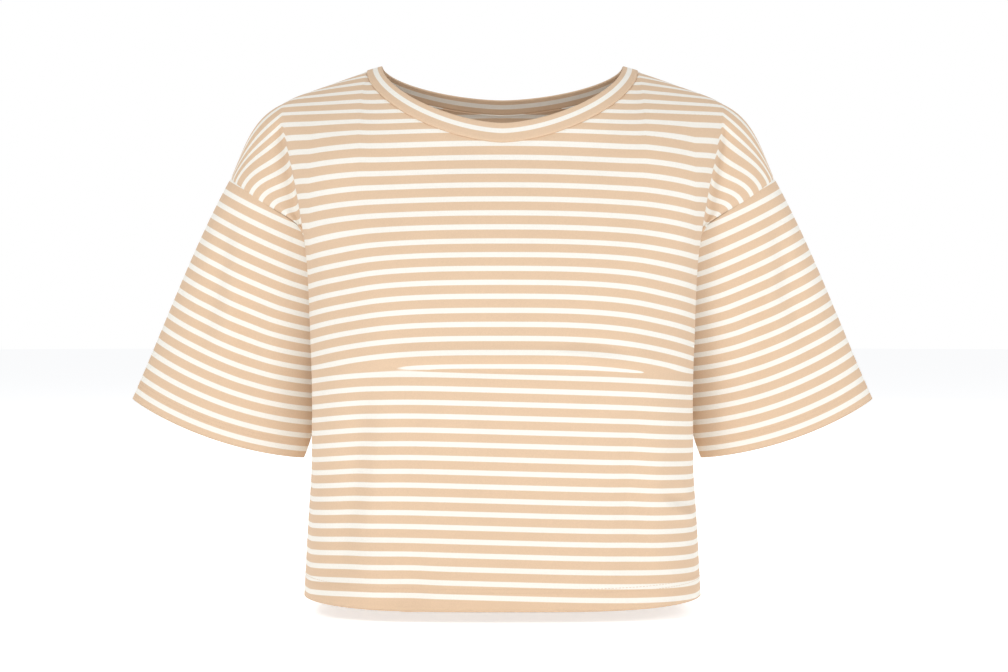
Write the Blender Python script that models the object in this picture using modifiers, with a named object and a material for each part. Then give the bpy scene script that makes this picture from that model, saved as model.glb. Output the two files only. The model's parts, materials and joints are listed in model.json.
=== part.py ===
"""Crop top: a boxy short-sleeved jersey top with dropped shoulders and a self-fabric neckband.

The garment is filled out with no wearer in it. X runs to its left sleeve, Y to its back and Z up.
The origin lies midway between the two points where the neckband is highest. All sizes are in metres.
"""

import bpy
import numpy as np

WALL = 0.0015
HEM_WALL = 0.0030
BAND_WALL = 0.0024
SEAM_PULL_BACK = 0.00025
ARMHOLE_PULL_BACK = 0.0005
FLAT_STRIP = 0.0025

NECK_HALF_WIDTH = 0.124
NECK_POINT_Z = -0.003
NECK_FRONT_DROP = 0.0695
NECK_BACK_DROP = 0.034
NECK_CURVE = 1.65
BAND_EDGE_HALF_WIDTH = 0.110
BAND_EDGE_Z = 0.001
BAND_EDGE_FRONT_DROP = 0.056
BAND_EDGE_BACK_DROP = 0.025
BAND_LEAN = 0.91

SHOULDER_ROLL_HEIGHT = 0.085
SECTION_SQUARENESS = 3.2
SECTION_OVER_FOLD = 1.045
ARMPIT_Z = -0.258
HEM_Z = -0.486
HEM_RISE_AT_SIDE = 0.006
HEM_RISE_POWER = 4

FOLD_SHARE = 0.22
FOLD_TURN = 0.22
FOLD_ROUNDNESS = 0.38
TOP_ROW_CROWDING = 0.3

SLEEVE_TIP = (0.340, -0.003, -0.303)
SLEEVE_INNER_CORNER = (0.182, -0.008, -0.357)
SLEEVE_HALF_DEPTH = 0.030
SLEEVE_TOP_LEAVES = (0.485, 0.0, -0.875)
UNDERARM_LEAVES = (0.86, 0.0, -0.51)
UNDERARM_START = 0.5
UNDERARM_BLEND = 0.4
SLEEVE_ROUNDNESS = 0.33
SLEEVE_HEM_SAG_FRONT = 0.009
SLEEVE_HEM_SAG_BACK = 0.013

NECK_COLUMNS = 8
SHOULDER_COLUMNS = 8
TORSO_COLUMNS = 12
ARMHOLE_ROWS = 14
SIDE_ROWS = 9
SLEEVE_ROWS = 8
HEM_ROWS = 1
BAND_ROWS = 2
CURVE_POINTS = 500
SPAN_POINTS = 40

# The top of the shoulder, seen from the front: name, x, z.
SHOULDER_LINE = (
    ("neck point", 0.124, -0.003),
    ("slope", 0.160, -0.0158),
    ("slope end", 0.192, -0.0272),
    ("roll", 0.2115, -0.0395),
    ("roll end", 0.2240, -0.0545),
    ("cap", 0.2365, -0.0770),
    ("drop seam", 0.2495, -0.1005),
)

# The armhole seam: name, x, z, y of its front half, y of its back half.
ARMHOLE = (
    ("drop seam", 0.2495, -0.1005, 0.000, 0.000),
    ("cap side", 0.2430, -0.1065, -0.018, 0.018),
    ("cap face", 0.2220, -0.1215, -0.031, 0.032),
    ("fold", 0.1800, -0.1500, -0.040, 0.042),
    ("valley", 0.1580, -0.1900, -0.040, 0.042),
    ("underarm", 0.1450, -0.2300, -0.026, 0.028),
    ("armpit", 0.1380, -0.2580, 0.000, 0.000),
)

# Level sections of the body: z, front depth, back depth, half width at the fold beside the arm,
# half width at the side seam, reach of the hollow under the arm.
BODY = (
    (0.000, 0.062, 0.062, 0.2035, 0.138, 0.034),
    (-0.037, 0.072, 0.079, 0.2020, 0.138, 0.034),
    (-0.071, 0.083, 0.091, 0.1950, 0.138, 0.034),
    (-0.120, 0.101, 0.102, 0.1845, 0.138, 0.034),
    (-0.180, 0.117, 0.108, 0.1755, 0.138, 0.034),
    (-0.258, 0.125, 0.107, 0.1715, 0.138, 0.034),
    (-0.300, 0.124, 0.105, 0.1705, 0.150, 0.036),
    (-0.345, 0.122, 0.104, 0.1705, 0.166, 0.042),
    (-0.400, 0.120, 0.106, 0.1705, 0.1755, 0.060),
    (-0.486, 0.120, 0.110, 0.1735, 0.1810, 0.080),
)

# name, colour, roughness
BEIGE = ("jersey_beige", (0.80, 0.60, 0.42), 0.90)
CREAM = ("jersey_cream", (0.98, 0.95, 0.88), 0.90)


def along(points, fractions):
    """Points at these fractions of a polyline's length."""
    points = np.asarray(points, float)
    steps = np.linalg.norm(np.diff(points, axis=0), axis=1)
    reach = np.concatenate([[0.0], np.cumsum(steps)])
    wanted = np.asarray(fractions) * reach[-1]
    return np.stack([np.interp(wanted, reach, points[:, k]) for k in range(points.shape[1])], axis=1)


def smooth_through(points, first=None, last=None):
    """A dense polyline on a Catmull-Rom curve, with given neighbours past its ends."""
    points = np.asarray(points, float)
    before = 2 * points[0] - points[1] if first is None else np.asarray(first, float)
    after = 2 * points[-1] - points[-2] if last is None else np.asarray(last, float)
    knots = np.vstack([before, points, after])
    t = np.linspace(0, 1, SPAN_POINTS, endpoint=False)[:, None]
    spans = []
    for a, b, c, d in zip(knots[:-3], knots[1:-2], knots[2:-1], knots[3:]):
        spans.append(b + 0.5 * t * (c - a + t * (2 * a - 5 * b + 4 * c - d + t * (3 * (b - c) + d - a))))
    return np.vstack(spans + [points[-1:]])


def body_at(z, side):
    """Depth, fold half width, seam half width and hollow reach at a height; side is -1 front, 1 back."""
    table = np.array(sorted(BODY))
    dense = smooth_through(table)
    values = [np.interp(z, dense[:, 0], dense[:, k]) for k in range(1, 6)]
    return (values[0] if side < 0 else values[1]), *values[2:]


def ridge_height(x):
    """Height of the shoulder line over x; inside the neck its slope carries on."""
    dense = smooth_through([(x, z) for _, x, z in SHOULDER_LINE])
    slope = (dense[1, 1] - dense[0, 1]) / (dense[1, 0] - dense[0, 0])
    inside = dense[0, 1] + slope * (x - dense[0, 0])
    return np.where(x < dense[0, 0], inside, np.interp(x, dense[:, 0], dense[:, 1]))


def torso_depth(x, z, side):
    """How far the front or back stands out from the shoulder's plane, between centre line and fold."""
    depth, fold, _, _ = body_at(z, side)
    share = np.clip(x / (fold * SECTION_OVER_FOLD), 0, 1)
    flat = (1 - share**SECTION_SQUARENESS) ** (1 / SECTION_SQUARENESS)
    below = np.clip((ridge_height(x) - z) / SHOULDER_ROLL_HEIGHT, 0, 1)
    return depth * flat * np.sqrt(1 - (1 - below) ** 2)


def neck_drop(share, drop):
    return drop * (1 - share**NECK_CURVE) ** (1 / NECK_CURVE)


def top_edge(side):
    """Neck seam from the centre to the neck point, then the shoulder seam to the drop seam."""
    share = np.sin(np.linspace(0, np.pi / 2, CURVE_POINTS))
    x = NECK_HALF_WIDTH * share
    z = NECK_POINT_Z - neck_drop(share, NECK_FRONT_DROP if side < 0 else NECK_BACK_DROP)
    neck = np.stack([x, side * torso_depth(x, z, side), z], axis=1)
    neck = along(neck, np.linspace(0, 1, NECK_COLUMNS + 1))
    shoulder = smooth_through([(x, 0.0, z) for _, x, z in SHOULDER_LINE])
    shoulder = along(shoulder, np.linspace(0, 1, SHOULDER_COLUMNS + 1))
    return np.vstack([neck, shoulder[1:]])


def armhole(side):
    """The armhole seam from the drop seam to the armpit."""
    front = [(x, front_y, z) for _, x, z, front_y, _ in ARMHOLE]
    back = [(x, back_y, z) for _, x, z, _, back_y in ARMHOLE]
    here, there = (front, back) if side < 0 else (back, front)
    seam = smooth_through(here, first=there[1], last=there[-2])
    return along(seam, np.linspace(0, 1, ARMHOLE_ROWS + 1))


def body_section(z, side):
    """One level quarter of the body from its centre line to its side seam, below the armpit."""
    depth, fold, seam, reach = body_at(z, side)
    half_width = fold * SECTION_OVER_FOLD
    turn = np.linspace(0, np.pi / 2, CURVE_POINTS)
    x = half_width * np.sin(turn) ** (2 / SECTION_SQUARENESS)
    y = depth * np.cos(turn) ** (2 / SECTION_SQUARENESS)
    x = x - (half_width - seam) * np.exp(-((y / reach) ** 2))
    down = np.clip((ARMPIT_Z - z) / (ARMPIT_Z - HEM_Z), 0, 1)
    lift = HEM_RISE_AT_SIDE * down * (x / half_width) ** HEM_RISE_POWER
    section = np.stack([x, side * y, z + lift], axis=1)
    return along(section, np.linspace(0, 1, NECK_COLUMNS + SHOULDER_COLUMNS + 1))


def unit(vectors):
    return vectors / np.linalg.norm(vectors, axis=-1, keepdims=True)


def bezier(a, b, c, d, fractions):
    t = np.asarray(fractions)[:, None]
    return (1 - t) ** 3 * a + 3 * t * (1 - t) ** 2 * b + 3 * t**2 * (1 - t) * c + t**3 * d


def upper_half(side):
    """Rows from the shoulder to the armpit, over one half of the front or back."""
    top = top_edge(side)
    seam = armhole(side)
    bottom = body_section(ARMPIT_Z, side)
    down = np.linspace(0, 1, ARMHOLE_ROWS + 1)
    grid = np.zeros((ARMHOLE_ROWS + 1, len(top), 3))
    fall = np.linspace(0, 1, CURVE_POINTS) ** 2
    for column in range(TORSO_COLUMNS + 1):
        z = top[column, 2] + (ARMPIT_Z - top[column, 2]) * fall
        fold = body_at(z, side)[1]
        share = top[column, 0] / fold[0] + (bottom[column, 0] / fold[-1] - top[column, 0] / fold[0]) * fall
        x = fold * share
        path = np.stack([x, side * torso_depth(x, z, side), z], axis=1)
        path += (bottom[column] - path[-1]) * fall[:, None]
        early = max(0.0, (column - NECK_COLUMNS) / (TORSO_COLUMNS - NECK_COLUMNS))
        grid[:, column] = along(path, down ** (1 - TOP_ROW_CROWDING * early))
    across = np.linspace(0, 1, len(top) - TORSO_COLUMNS)
    leaving = unit(grid[:, TORSO_COLUMNS] - grid[:, TORSO_COLUMNS - 1])
    arm = unit(np.array(SLEEVE_TIP) - seam[0])
    inward = np.array([0.0, -side, 0.0])
    for row, share in enumerate(down):
        turn = np.clip((share - FOLD_SHARE) / FOLD_TURN, 0, 1)
        arriving = unit(arm * (1 - turn) + inward * turn)
        start, end = grid[row, TORSO_COLUMNS], seam[row]
        reach = np.linalg.norm(end - start) * FOLD_ROUNDNESS
        grid[row, TORSO_COLUMNS:] = bezier(
            start, start + leaving[row] * reach, end - arriving * reach, end, across
        )
    grid[0] = top
    grid[-1] = bottom
    return grid


def half_panel(side):
    """All rows of one half of the front or back, from its top edge to its hem."""
    upper = upper_half(side)
    levels = np.linspace(ARMPIT_Z, HEM_Z, SIDE_ROWS + 1)[1:]
    lower = np.stack([body_section(z, side) for z in levels])
    return np.concatenate([upper, lower])


def pulled_from(edge, inside, distance=SEAM_PULL_BACK):
    """An edge's points moved off their seam, square to the edge and towards the points inside it."""
    course = unit(np.gradient(edge, axis=0))
    inward = inside - edge
    inward = inward - (inward * course).sum(axis=1, keepdims=True) * course
    return edge + unit(inward) * distance


def flat_strip(edge, direction):
    """A row just inside a seam, so that the cloth on both its sides meets face to face."""
    return edge + np.array(direction) * FLAT_STRIP


def mirrored(half):
    """A full-width grid from the half at positive x, whose first column is the centre line."""
    other = half[:, :0:-1] * np.array([-1.0, 1.0, 1.0])
    return np.concatenate([other, half], axis=1)


def material(name, colour, roughness):
    made = bpy.data.materials.new(name)
    made.use_nodes = True
    shader = made.node_tree.nodes["Principled BSDF"]
    shader.inputs["Base Color"].default_value = (*colour, 1.0)
    shader.inputs["Roughness"].default_value = roughness
    return made


def sheet(name, grid, outward, wall, hem_rows, look, ring=False):
    """A cloth piece from a grid of points: an open surface, thickened inwards, with a double hem."""
    rows, columns = grid.shape[:2]
    span = columns if ring else columns - 1
    faces = []
    for row in range(rows - 1):
        for column in range(span):
            here, beside = row * columns + column, row * columns + (column + 1) % columns
            face = (here, here + columns, beside + columns, beside)
            faces.append(face if outward else face[::-1])
    mesh = bpy.data.meshes.new(name)
    mesh.from_pydata([tuple(point) for point in grid.reshape(-1, 3)], [], faces)
    mesh.shade_smooth()
    mesh.materials.append(look)
    piece = bpy.data.objects.new(name, mesh)
    bpy.data.collections["crop_top"].objects.link(piece)
    thick = HEM_WALL if hem_rows else wall
    solid = piece.modifiers.new("wall", "SOLIDIFY")
    solid.thickness = thick
    solid.offset = -1.0
    if hem_rows:
        layers = piece.vertex_groups.new(name="layers")
        plain = (rows - hem_rows - 1) * columns
        layers.add(list(range(plain)), wall / thick, "REPLACE")
        layers.add(list(range(plain, rows * columns)), 1.0, "REPLACE")
        solid.vertex_group = layers.name
    return piece


def seamed(half, side):
    """A half panel with its edges off their seams, and a flat strip along its shoulder and side seams."""
    to_panel = (0.0, side, 0.0)
    corner = ARMHOLE_ROWS + 1
    fine = np.insert(half, len(half[0]) - 1, half[:, -1], axis=1)
    fine = np.insert(fine, 1, fine[0], axis=0)
    fine[1, NECK_COLUMNS:] = flat_strip(fine[0, NECK_COLUMNS:], to_panel)
    fine[1, :NECK_COLUMNS] = fine[0, :NECK_COLUMNS] + unit(fine[2] - fine[0])[:NECK_COLUMNS] * FLAT_STRIP
    fine[corner:, -2] = flat_strip(fine[corner:, -1], to_panel)
    above = fine[1:corner, -1]
    fine[1:corner, -2] = above + unit(fine[2 : corner + 1, -3] - above) * FLAT_STRIP
    fine[0, -2] = fine[0, -1] + unit(fine[0, -3] - fine[0, -1]) * FLAT_STRIP
    fine[1, -2] = flat_strip(fine[0, -2], to_panel)
    fine[1, -1] = flat_strip(fine[0, -1], to_panel)
    pulled = fine.copy()
    pulled[0] = pulled_from(fine[0], fine[1])
    rows = slice(1, corner + 1)
    pulled[rows, -1] = pulled_from(fine[rows, -1], fine[2 : corner + 2, -3], ARMHOLE_PULL_BACK)
    pulled[corner:, -1] += np.array(to_panel) * SEAM_PULL_BACK
    return pulled


def make_panel(name, side, look):
    return sheet(name, mirrored(seamed(half_panel(side), side)), side < 0, WALL, HEM_ROWS, look)


def sleeve_hem():
    """The sleeve's hem from its outer tip round the front, and back round the back, a flattened ring."""
    tip, corner = np.array(SLEEVE_TIP), np.array(SLEEVE_INNER_CORNER)
    middle, across = (tip + corner) / 2, (tip - corner) / 2
    down = unit(np.cross(across, (0.0, 1.0, 0.0)))
    down = down if down[2] < 0 else -down
    rings = []
    for side, sag in ((-1, SLEEVE_HEM_SAG_FRONT), (1, SLEEVE_HEM_SAG_BACK)):
        turn = np.linspace(0, np.pi, CURVE_POINTS)
        half = (
            middle
            + np.cos(turn)[:, None] * across
            + np.sin(turn)[:, None] * np.array([0.0, side * SLEEVE_HALF_DEPTH, 0.0])
            + np.sin(turn)[:, None] ** 2 * sag * down
        )
        rings.append(along(half, np.linspace(0, 1, ARMHOLE_ROWS + 1)))
    front, back = rings
    return np.vstack([front, back[-2:0:-1]])


def make_sleeve(name, mirror, look):
    front, back = armhole(-1), armhole(1)
    top = np.vstack([front, back[-2:0:-1]])
    bottom = sleeve_hem()
    arm = unit(np.array(SLEEVE_TIP) - front[0])
    share = np.linspace(0, 1, SLEEVE_ROWS + 1)
    grid = np.zeros((SLEEVE_ROWS + 1, len(top), 3))
    for place, (start, end) in enumerate(zip(top, bottom)):
        reach = np.linalg.norm(end - start) * SLEEVE_ROUNDNESS
        nearness = 1 - abs(place - ARMHOLE_ROWS) / ARMHOLE_ROWS
        lift = np.clip((nearness - UNDERARM_START) / UNDERARM_BLEND, 0, 1)
        leaving = unit(np.array(SLEEVE_TOP_LEAVES) * (1 - lift) + np.array(UNDERARM_LEAVES) * lift)
        grid[:, place] = bezier(start, start + leaving * reach, end - arm * reach, end, share)
    grid[0] += unit(grid[1] - grid[0]) * ARMHOLE_PULL_BACK
    if mirror:
        grid = grid * np.array([-1.0, 1.0, 1.0])
    return sheet(name, grid, mirror, WALL, HEM_ROWS, look, ring=True)


def make_neckband(look):
    rings = []
    for side in (-1, 1):
        seam = top_edge(side)[: NECK_COLUMNS + 1]
        share = seam[:, 0] / NECK_HALF_WIDTH
        drop = BAND_EDGE_FRONT_DROP if side < 0 else BAND_EDGE_BACK_DROP
        edge = np.stack(
            [
                share * BAND_EDGE_HALF_WIDTH,
                seam[:, 1] * BAND_LEAN,
                BAND_EDGE_Z - neck_drop(np.clip(share, 0, 1), drop),
            ],
            axis=1,
        )
        fall = np.linspace(0, 1, BAND_ROWS + 1)[:, None, None]
        half = edge + (seam - edge) * fall
        half[-1] += unit(half[-2] - half[-1]) * SEAM_PULL_BACK
        rings.append(mirrored(half))
    front, back = rings
    ring = np.concatenate([front, back[:, -2:0:-1]], axis=1)
    return sheet("neckband", ring, True, BAND_WALL, 0, look, ring=True)


def main():
    for old in list(bpy.data.objects):
        bpy.data.objects.remove(old)
    folder = bpy.data.collections.new("crop_top")
    bpy.context.scene.collection.children.link(folder)
    beige = material(*BEIGE)
    cream = material(*CREAM)
    make_panel("front", -1, beige)
    make_panel("back", 1, beige)
    make_sleeve("sleeve_left", False, cream)
    make_sleeve("sleeve_right", True, cream)
    make_neckband(beige)


main()
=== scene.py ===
"""Crop top, finished: striped jersey over the frame's solids, with creases, stitches and a studio.

Laid out as an add-on and run as a script. X runs to the top's own left sleeve, Y to its back and Z up.
The origin lies midway between the two points where the neckband is highest. All sizes are in metres.
"""

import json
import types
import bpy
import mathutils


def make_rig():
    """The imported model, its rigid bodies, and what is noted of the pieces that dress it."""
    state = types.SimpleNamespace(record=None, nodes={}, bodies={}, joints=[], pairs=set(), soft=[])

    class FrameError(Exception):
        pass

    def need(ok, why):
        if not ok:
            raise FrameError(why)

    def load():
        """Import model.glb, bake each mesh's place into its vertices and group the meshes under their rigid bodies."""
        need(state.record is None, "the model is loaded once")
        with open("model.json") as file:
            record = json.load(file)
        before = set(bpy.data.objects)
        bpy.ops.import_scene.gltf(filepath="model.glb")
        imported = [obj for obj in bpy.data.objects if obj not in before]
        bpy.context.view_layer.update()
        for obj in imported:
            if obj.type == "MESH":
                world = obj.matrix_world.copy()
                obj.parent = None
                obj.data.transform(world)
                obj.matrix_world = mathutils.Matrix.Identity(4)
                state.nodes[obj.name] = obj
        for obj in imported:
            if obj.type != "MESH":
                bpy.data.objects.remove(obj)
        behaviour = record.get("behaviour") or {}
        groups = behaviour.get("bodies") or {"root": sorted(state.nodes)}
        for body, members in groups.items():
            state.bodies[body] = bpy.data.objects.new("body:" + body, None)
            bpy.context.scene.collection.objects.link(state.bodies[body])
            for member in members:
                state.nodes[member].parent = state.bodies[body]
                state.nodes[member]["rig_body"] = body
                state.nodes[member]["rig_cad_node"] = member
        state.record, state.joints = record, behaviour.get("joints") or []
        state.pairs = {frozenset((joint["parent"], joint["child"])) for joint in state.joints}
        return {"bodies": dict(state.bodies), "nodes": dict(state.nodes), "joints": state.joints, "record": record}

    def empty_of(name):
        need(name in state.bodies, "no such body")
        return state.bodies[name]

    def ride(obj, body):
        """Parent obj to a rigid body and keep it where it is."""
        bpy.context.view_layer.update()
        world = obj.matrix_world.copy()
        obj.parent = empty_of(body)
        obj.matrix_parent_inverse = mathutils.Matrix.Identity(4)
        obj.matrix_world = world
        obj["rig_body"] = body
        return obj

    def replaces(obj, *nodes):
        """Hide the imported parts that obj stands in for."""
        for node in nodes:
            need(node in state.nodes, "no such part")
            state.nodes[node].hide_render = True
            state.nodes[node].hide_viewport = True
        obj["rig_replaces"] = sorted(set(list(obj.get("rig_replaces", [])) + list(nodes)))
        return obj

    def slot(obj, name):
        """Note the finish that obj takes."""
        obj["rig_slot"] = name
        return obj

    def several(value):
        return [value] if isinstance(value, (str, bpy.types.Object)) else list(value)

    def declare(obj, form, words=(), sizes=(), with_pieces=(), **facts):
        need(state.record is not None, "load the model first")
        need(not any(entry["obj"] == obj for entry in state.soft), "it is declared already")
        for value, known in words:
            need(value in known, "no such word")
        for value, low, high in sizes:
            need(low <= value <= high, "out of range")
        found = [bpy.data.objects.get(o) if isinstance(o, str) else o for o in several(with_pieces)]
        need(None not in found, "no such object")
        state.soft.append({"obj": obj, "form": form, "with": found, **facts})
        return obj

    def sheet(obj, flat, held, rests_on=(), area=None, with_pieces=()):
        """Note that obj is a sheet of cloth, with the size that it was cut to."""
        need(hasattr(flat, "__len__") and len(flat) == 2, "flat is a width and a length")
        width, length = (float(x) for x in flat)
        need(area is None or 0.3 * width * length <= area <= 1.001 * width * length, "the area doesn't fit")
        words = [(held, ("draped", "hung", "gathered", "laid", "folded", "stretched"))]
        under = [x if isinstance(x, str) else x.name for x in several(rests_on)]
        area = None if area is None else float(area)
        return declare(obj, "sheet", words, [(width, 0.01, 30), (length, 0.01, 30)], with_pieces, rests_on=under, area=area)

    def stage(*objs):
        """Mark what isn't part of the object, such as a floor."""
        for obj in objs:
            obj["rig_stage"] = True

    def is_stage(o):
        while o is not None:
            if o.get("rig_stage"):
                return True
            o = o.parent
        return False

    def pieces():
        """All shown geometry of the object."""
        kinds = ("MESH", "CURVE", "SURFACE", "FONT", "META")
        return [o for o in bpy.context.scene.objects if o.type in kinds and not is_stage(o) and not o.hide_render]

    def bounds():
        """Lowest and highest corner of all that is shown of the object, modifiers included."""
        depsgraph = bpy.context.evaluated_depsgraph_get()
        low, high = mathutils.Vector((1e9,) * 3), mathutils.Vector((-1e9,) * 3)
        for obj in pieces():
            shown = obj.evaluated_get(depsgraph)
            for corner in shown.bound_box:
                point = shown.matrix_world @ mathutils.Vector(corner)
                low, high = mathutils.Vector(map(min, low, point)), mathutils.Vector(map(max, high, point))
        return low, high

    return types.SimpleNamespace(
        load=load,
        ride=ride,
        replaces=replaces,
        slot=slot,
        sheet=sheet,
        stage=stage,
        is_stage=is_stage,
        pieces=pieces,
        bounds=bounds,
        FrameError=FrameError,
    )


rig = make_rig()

bl_info = {
    "name": "Crop top finish",
    "version": (1, 0, 0),
    "blender": (4, 5, 0),
    "location": "View3D > Sidebar > Crop top",
    "description": "Fine striped jersey over the crop top's solids, with creases, stitches and a studio",
    "category": "Object",
}

import json
import math

import bmesh
import bpy
import mathutils
import numpy as np

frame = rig.load()
CAD_BOX = [list(corner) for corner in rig.bounds()]

# --- the cut, as the solids have it

NECK_HALF_WIDTH = 0.124
NECK_POINT_Z = -0.003
NECK_FRONT_DROP = 0.0695
NECK_BACK_DROP = 0.034
NECK_CURVE = 1.65
BAND_EDGE_HALF_WIDTH = 0.110
BAND_EDGE_Z = 0.001
BAND_EDGE_FRONT_DROP = 0.056
BAND_EDGE_BACK_DROP = 0.025
BAND_LEAN = 0.91

SHOULDER_ROLL_HEIGHT = 0.085
SECTION_SQUARENESS = 3.2
SECTION_OVER_FOLD = 1.045
ARMPIT_Z = -0.258
HEM_Z = -0.486
HEM_RISE_AT_SIDE = 0.006
HEM_RISE_POWER = 4

FOLD_SHARE = 0.22
FOLD_TURN = 0.22
FOLD_ROUNDNESS = 0.38
TOP_ROW_CROWDING = 0.3

SLEEVE_TIP = (0.340, -0.003, -0.303)
SLEEVE_INNER_CORNER = (0.182, -0.008, -0.357)
SLEEVE_HALF_DEPTH = 0.030
SLEEVE_TOP_LEAVES = (0.485, 0.0, -0.875)
UNDERARM_LEAVES = (0.86, 0.0, -0.51)
UNDERARM_START = 0.5
UNDERARM_BLEND = 0.4
SLEEVE_ROUNDNESS = 0.33
SLEEVE_HEM_SAG_FRONT = 0.009
SLEEVE_HEM_SAG_BACK = 0.013

# The top of the shoulder, seen from the front: name, x, z.
SHOULDER_LINE = (
    ("neck point", 0.124, -0.003),
    ("slope", 0.160, -0.0158),
    ("slope end", 0.192, -0.0272),
    ("roll", 0.2115, -0.0395),
    ("roll end", 0.2240, -0.0545),
    ("cap", 0.2365, -0.0770),
    ("drop seam", 0.2495, -0.1005),
)

# The armhole seam: name, x, z, y of its front half, y of its back half.
ARMHOLE = (
    ("drop seam", 0.2495, -0.1005, 0.000, 0.000),
    ("cap side", 0.2430, -0.1065, -0.018, 0.018),
    ("cap face", 0.2220, -0.1215, -0.031, 0.032),
    ("fold", 0.1800, -0.1500, -0.040, 0.042),
    ("valley", 0.1580, -0.1900, -0.040, 0.042),
    ("underarm", 0.1450, -0.2300, -0.026, 0.028),
    ("armpit", 0.1380, -0.2580, 0.000, 0.000),
)

# Level sections of the body: z, front depth, back depth, half width at the fold beside the arm,
# half width at the side seam, reach of the hollow under the arm.
BODY = (
    (0.000, 0.062, 0.062, 0.2035, 0.138, 0.034),
    (-0.037, 0.072, 0.079, 0.2020, 0.138, 0.034),
    (-0.071, 0.083, 0.091, 0.1950, 0.138, 0.034),
    (-0.120, 0.101, 0.102, 0.1845, 0.138, 0.034),
    (-0.180, 0.117, 0.108, 0.1755, 0.138, 0.034),
    (-0.258, 0.125, 0.107, 0.1715, 0.138, 0.034),
    (-0.300, 0.124, 0.105, 0.1705, 0.150, 0.036),
    (-0.345, 0.122, 0.104, 0.1705, 0.166, 0.042),
    (-0.400, 0.120, 0.106, 0.1705, 0.1755, 0.060),
    (-0.486, 0.120, 0.110, 0.1735, 0.1810, 0.080),
)

# The grid of each piece, in steps of the solids' own grid, and how many fine steps each takes.
NECK_COLUMNS = 8
FOLD_COLUMN = 12
SEAM_COLUMN = 16
ARMHOLE_ROWS = 14
SIDE_ROWS = 9
SLEEVE_ROWS = 8
FINE = 7
CURVE_POINTS = 500
SPAN_POINTS = 40
SEAM_STEPS = (0.0015, 0.004, 0.009)
SEAM_COLUMN_STEPS = (0.004, 0.012, 0.027)

# --- how the cloth lies

SEAM_DIP = 0.0006
SEAM_DIP_WIDTH = 0.0020
CREASE_CLEAR_OF_SEAM = 0.012
CREASE_POINTS = 28
CREASE_END_POWER = 0.7
VALLEY_DEPTH = 0.0085
VALLEY_WIDTH = 0.0050
VALLEY_TOP_Z = -0.042
VALLEY_FULL_Z = -0.062
VALLEY_FADE_Z = -0.150
VALLEY_END_Z = -0.200
VALLEY_STRIPE_SHIFT = 0.5
BAND_HALF_THICKNESS = 0.0012
BAND_FACE_STEPS = 10
BAND_EDGE_STEPS = 6
BAND_FACE_TOP = 0.07
BAND_FACE_FOOT = 0.94
BAND_SEAM_OUTER = (1.0, 0.3)
BAND_SEAM_INNER = (1.0, -0.75)
LOOP_LEAN = 1.6
LOOP_SHARE = 0.25
HEATHER_SCALE = 900.0
CLOUD_SCALE = 26.0
THREAD_TWIST_SCALE = 1500.0
PAPER_SCALE = 3.0

# Unevenness of the dye: name, darkest, lightest.
TONE_RANGES = (
    ("Heather", 0.965, 1.02),
    ("Cloud", 0.985, 1.01),
)

# Creases of the front: name, start x, start z, end x, end z, bow, half width, height.
FRONT_CREASES = (
    ("pressed line", -0.128, -0.2735, 0.140, -0.2785, 0.003, 0.0050, -0.0022),
    ("roll over it", -0.118, -0.2650, 0.110, -0.2690, 0.003, 0.0090, 0.0014),
    ("left hang", -0.124, -0.2740, -0.150, -0.4700, 0.006, 0.0140, -0.0026),
    ("left hang lip", -0.106, -0.2800, -0.128, -0.4500, 0.006, 0.0160, 0.0016),
    ("right hang", 0.124, -0.2850, 0.112, -0.4560, -0.004, 0.0130, -0.0022),
    ("right hang lip", 0.143, -0.2950, 0.138, -0.4500, -0.004, 0.0150, 0.0016),
    ("upper ripple", 0.052, -0.2470, 0.120, -0.2600, 0.002, 0.0045, -0.0012),
    ("middle ripple", 0.032, -0.2580, 0.100, -0.2660, 0.001, 0.0040, 0.0010),
    ("hip ripple", 0.140, -0.3840, 0.170, -0.3980, 0.002, 0.0050, -0.0014),
    ("hip ripple lip", 0.142, -0.3960, 0.172, -0.4090, 0.002, 0.0050, 0.0010),
    ("hem flute", -0.078, -0.4300, -0.082, -0.4860, 0.002, 0.0150, -0.0020),
    ("hem flute lip", -0.112, -0.4200, -0.118, -0.4860, 0.002, 0.0160, 0.0018),
    ("left chest drape", -0.150, -0.1500, -0.120, -0.2500, -0.006, 0.0180, -0.0016),
    ("right chest drape", 0.152, -0.1550, 0.124, -0.2600, 0.006, 0.0180, -0.0016),
)

BACK_CREASES = (
    ("waist hollow", -0.105, -0.3000, 0.098, -0.2930, -0.006, 0.0200, -0.0026),
    ("left blade drape", 0.148, -0.1500, 0.096, -0.2750, 0.008, 0.0170, -0.0022),
    ("right blade drape", -0.150, -0.1600, -0.104, -0.2900, -0.008, 0.0160, -0.0020),
    ("left hang", 0.122, -0.2950, 0.136, -0.4740, 0.006, 0.0140, -0.0026),
    ("right hang", -0.116, -0.3050, -0.128, -0.4650, -0.006, 0.0150, -0.0024),
    ("middle hang", 0.022, -0.3300, 0.030, -0.4860, 0.004, 0.0180, -0.0018),
    ("middle hang lip", -0.012, -0.3300, -0.010, -0.4860, 0.004, 0.0200, 0.0016),
)

# Creases of a sleeve: name, start round, start up, end round, end up, bow, half width, height.
# Round is measured over the front from the outer line, and over the back below zero; up is from the hem.
SLEEVE_CREASES = (
    ("cap drape", 0.028, 0.200, 0.052, 0.060, 0.006, 0.0100, -0.0016),
    ("cap drape lip", 0.046, 0.190, 0.074, 0.070, 0.006, 0.0110, 0.0013),
    ("bend", 0.085, 0.150, 0.118, 0.050, -0.005, 0.0120, -0.0018),
    ("back drape", -0.036, 0.195, -0.060, 0.060, 0.006, 0.0110, -0.0018),
    ("back bend", -0.090, 0.140, -0.115, 0.040, 0.004, 0.0130, -0.0018),
)

# --- the stripes

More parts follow.
